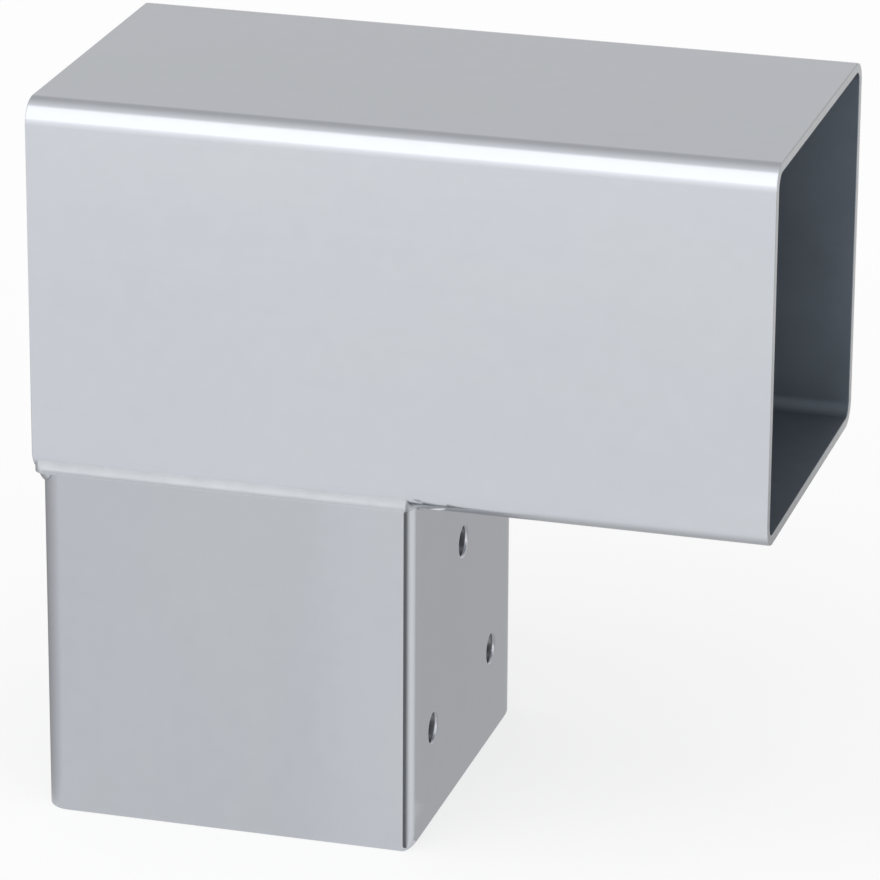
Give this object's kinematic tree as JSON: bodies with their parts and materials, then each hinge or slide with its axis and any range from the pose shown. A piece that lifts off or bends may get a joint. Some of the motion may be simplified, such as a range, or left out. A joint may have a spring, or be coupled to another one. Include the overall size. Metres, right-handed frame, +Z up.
{
  "type": "pergola corner bracket",
  "caption": "Square steel sleeve for a pergola beam with a shorter square post sleeve welded under one end, screw holes on the inner corner faces.",
  "frame": {"origin": "on the plane of the post sleeve's lower rim, under the centre of the bounding box", "axes": "+X along the beam sleeve, away from the post sleeve; -Y is the front; +Z up the post sleeve"},
  "size_m": [0.186, 0.096, 0.186],
  "materials": {
    "steel": "satin, lightly brushed, cool grey",
    "weld": "dressed weld, satin, slightly lighter"
  },
  "bodies": {
    "root": {"beam_sleeve": "steel", "post_sleeve": "steel", "front_weld": "weld", "rear_weld": "weld", "end_weld": "weld", "inner_weld": "weld"}
  },
  "joints": []
}
